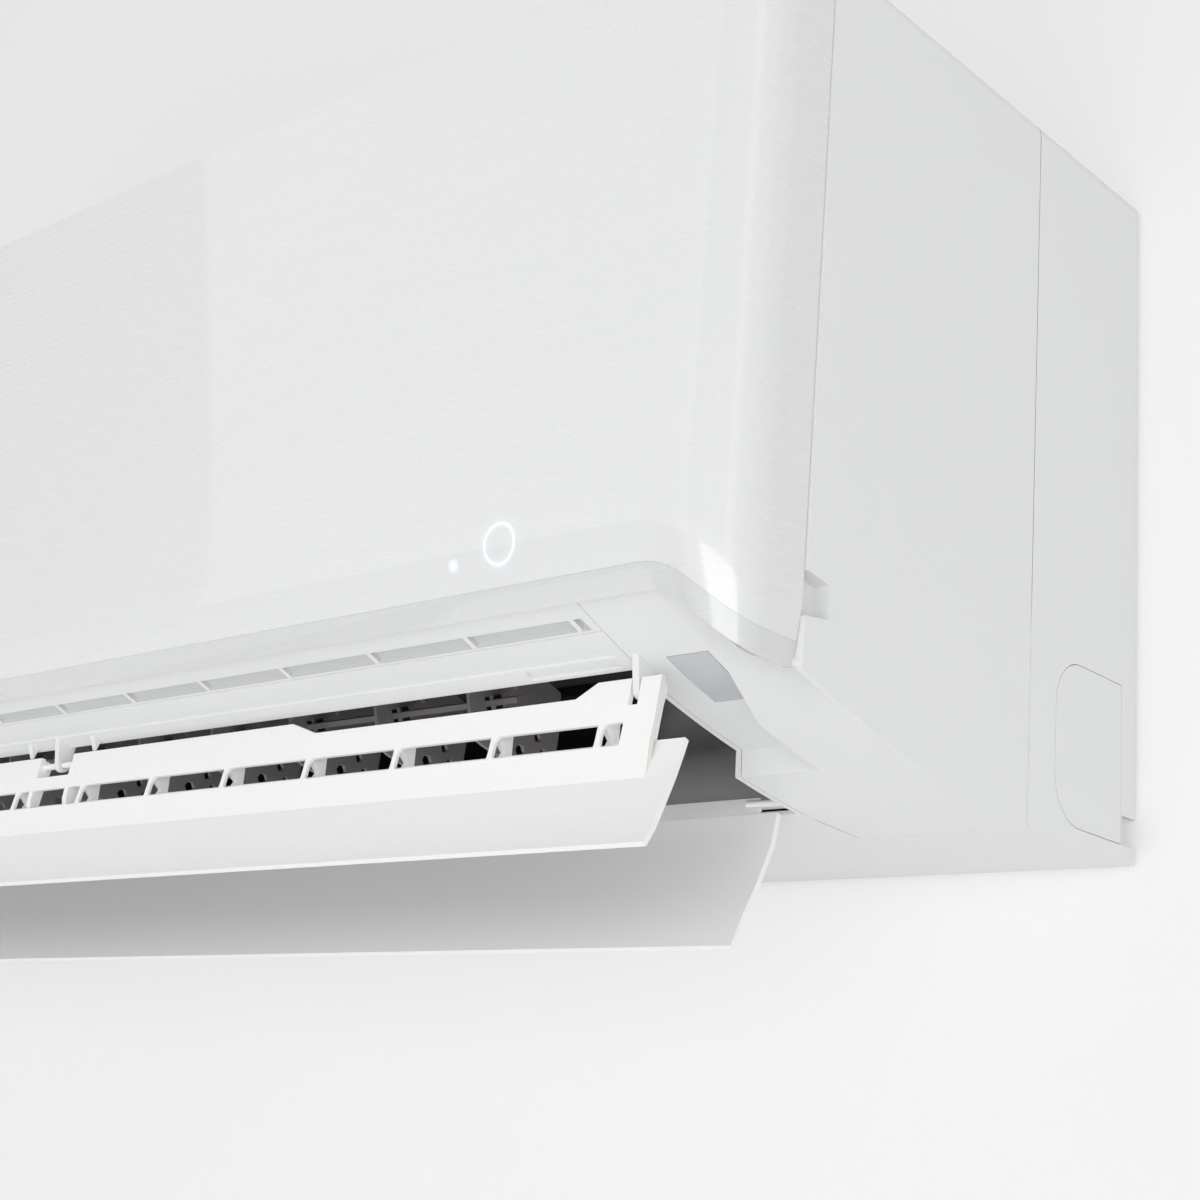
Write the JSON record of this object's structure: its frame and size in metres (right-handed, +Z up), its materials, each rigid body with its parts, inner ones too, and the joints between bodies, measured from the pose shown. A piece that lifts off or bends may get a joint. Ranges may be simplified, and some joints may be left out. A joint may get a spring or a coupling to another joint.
{
  "type": "mini split indoor unit",
  "caption": "Wall-hung mini split indoor unit in white plastic, with a glossy front panel, two open louvres, a glowing ring and a grey receiver window.",
  "frame": {"origin": "centre of the mounting plate's back face, on the wall", "axes": "+Z up, -Y out of the wall to the front, +X to the unit's right as seen from the front"},
  "size_m": [0.851, 0.27, 0.349],
  "materials": {
    "white_abs": "satin white ABS",
    "gloss_white": "pearl under clear acrylic",
    "clear_guide": "light guide",
    "dark_plastic": "dark grey",
    "grey_lens": "grey translucent",
    "pan_foam": "dark grey",
    "steel": "zinc plated",
    "fins": "bare fins",
    "copper": "drawn copper tube",
    "brass": "turned",
    "board": "printed board"
  },
  "bodies": {
    "unit": {"mounting_plate": "steel", "rear_chassis": "white_abs", "pipe_port_cover_right": "white_abs", "pipe_port_cover_left": "white_abs", "front_casing": "white_abs", "outlet_trim_strip": "white_abs", "receiver_window": "grey_lens", "drain_pan": "pan_foam", "coil_front_lower": "fins", "coil_front_upper": "fins", "coil_rear": "fins", "gas_pipe": "copper", "liquid_pipe": "copper", "gas_flare_nut": "brass", "liquid_flare_nut": "brass", "drain_hose": "white_abs", "fan_bearing_housing": "dark_plastic", "fan_motor": "steel", "motor_bracket": "white_abs", "electrical_box": "white_abs", "electrical_cover": "white_abs", "control_board": "board", "terminal_block": "dark_plastic", "display_board": "board", "light_ring": "clear_guide", "mode_indicator": "clear_guide", "upper_louver_motor": "steel", "lower_louver_motor": "steel", "vane_motor_left": "steel", "vane_motor_right": "steel", "casing_screw_1": "steel", "casing_screw_2": "steel", "casing_screw_3": "steel"},
    "fan": {"crossflow_fan": "dark_plastic", "fan_shaft": "steel", "motor_shaft": "steel"},
    "panel": {"front_panel": "gloss_white", "panel_backing": "white_abs", "panel_hinge_arm_right": "white_abs", "panel_hinge_arm_left": "white_abs"},
    "upper_louver": {"upper_louver": "white_abs"},
    "lower_louver": {"lower_louver": "white_abs"},
    "auto_button": {"auto_button": "clear_guide"},
    "filter_right": {"air_filter_right": "dark_plastic"},
    "filter_left": {"air_filter_left": "dark_plastic"},
    "vane_1": {"vane_1": "dark_plastic"},
    "vane_2": {"vane_2": "dark_plastic"},
    "vane_3": {"vane_3": "dark_plastic"},
    "vane_4": {"vane_4": "dark_plastic"},
    "vane_5": {"vane_5": "dark_plastic"},
    "vane_6": {"vane_6": "dark_plastic"},
    "vane_7": {"vane_7": "dark_plastic"},
    "vane_8": {"vane_8": "dark_plastic"},
    "vane_9": {"vane_9": "dark_plastic"},
    "vane_10": {"vane_10": "dark_plastic"},
    "link_right": {"link_bar_right": "dark_plastic"},
    "link_left": {"link_bar_left": "dark_plastic"}
  },
  "joints": [
    {"name": "fan_spin", "type": "hinge", "parent": "unit", "child": "fan", "pos_m": [0, -0.112, -0.068], "axis": [1, 0, 0], "continuous": true},
    {"name": "panel_hinge", "type": "hinge", "parent": "unit", "child": "panel", "pos_m": [0, -0.236, 0.106], "axis": [1, 0, 0], "range_deg": [-62, 0]},
    {"name": "upper_louver_hinge", "type": "hinge", "parent": "unit", "child": "upper_louver", "pos_m": [0, -0.2259, -0.1534], "axis": [1, 0, 0], "range_deg": [0, 97]},
    {"name": "lower_louver_hinge", "type": "hinge", "parent": "unit", "child": "lower_louver", "pos_m": [0, -0.1298, -0.1738], "axis": [1, 0, 0], "range_deg": [-74, 0]},
    {"name": "button_press", "type": "slide", "parent": "unit", "child": "auto_button", "axis": [0, 1, 0], "range_m": [0, 0.0015], "stiffness_N_per_m": 400, "springref_m": -0.001},
    {"name": "filter_right_lift", "type": "slide", "parent": "unit", "child": "filter_right", "axis": [0, 0, 1], "range_m": [0, 0.006]},
    {"name": "filter_left_lift", "type": "slide", "parent": "unit", "child": "filter_left", "axis": [0, 0, 1], "range_m": [0, 0.006]},
    {"name": "vane_1_swing", "type": "hinge", "parent": "unit", "child": "vane_1", "pos_m": [0.233, -0.17, -0.11957], "axis": [0, -0.3811, 0.9245], "range_deg": [-25, 25]},
    {"name": "vane_2_swing", "type": "hinge", "parent": "unit", "child": "vane_2", "pos_m": [0.1774, -0.17, -0.11957], "axis": [0, -0.3811, 0.9245], "range_deg": [-25, 25]},
    {"name": "vane_3_swing", "type": "hinge", "parent": "unit", "child": "vane_3", "pos_m": [0.1218, -0.17, -0.11957], "axis": [0, -0.3811, 0.9245], "range_deg": [-25, 25]},
    {"name": "vane_4_swing", "type": "hinge", "parent": "unit", "child": "vane_4", "pos_m": [0.0662, -0.17, -0.11957], "axis": [0, -0.3811, 0.9245], "range_deg": [-25, 25]},
    {"name": "vane_5_swing", "type": "hinge", "parent": "unit", "child": "vane_5", "pos_m": [0.0106, -0.17, -0.11957], "axis": [0, -0.3811, 0.9245], "range_deg": [-25, 25]},
    {"name": "vane_6_swing", "type": "hinge", "parent": "unit", "child": "vane_6", "pos_m": [-0.045, -0.17, -0.11957], "axis": [0, -0.3811, 0.9245], "range_deg": [-25, 25]},
    {"name": "vane_7_swing", "type": "hinge", "parent": "unit", "child": "vane_7", "pos_m": [-0.1006, -0.17, -0.11957], "axis": [0, -0.3811, 0.9245], "range_deg": [-25, 25]},
    {"name": "vane_8_swing", "type": "hinge", "parent": "unit", "child": "vane_8", "pos_m": [-0.1562, -0.17, -0.11957], "axis": [0, -0.3811, 0.9245], "range_deg": [-25, 25]},
    {"name": "vane_9_swing", "type": "hinge", "parent": "unit", "child": "vane_9", "pos_m": [-0.2118, -0.17, -0.11957], "axis": [0, -0.3811, 0.9245], "range_deg": [-25, 25]},
    {"name": "vane_10_swing", "type": "hinge", "parent": "unit", "child": "vane_10", "pos_m": [-0.2674, -0.17, -0.11957], "axis": [0, -0.3811, 0.9245], "range_deg": [-25, 25]},
    {"name": "link_right_slide", "type": "slide", "parent": "unit", "child": "link_right", "axis": [1, 0, 0], "range_m": [-0.00616, 0.00616]},
    {"name": "link_left_slide", "type": "slide", "parent": "unit", "child": "link_left", "axis": [1, 0, 0], "range_m": [-0.00616, 0.00616]}
  ],
  "couplings": [
    {"joint": "vane_2_swing", "follows": "vane_1_swing", "ratio": 1},
    {"joint": "vane_3_swing", "follows": "vane_1_swing", "ratio": 1},
    {"joint": "vane_4_swing", "follows": "vane_1_swing", "ratio": 1},
    {"joint": "vane_5_swing", "follows": "vane_1_swing", "ratio": 1},
    {"joint": "vane_7_swing", "follows": "vane_6_swing", "ratio": 1},
    {"joint": "vane_8_swing", "follows": "vane_6_swing", "ratio": 1},
    {"joint": "vane_9_swing", "follows": "vane_6_swing", "ratio": 1},
    {"joint": "vane_10_swing", "follows": "vane_6_swing", "ratio": 1},
    {"joint": "link_right_slide", "follows": "vane_1_swing", "m_per_rad": 0.014},
    {"joint": "link_left_slide", "follows": "vane_6_swing", "m_per_rad": 0.014}
  ]
}
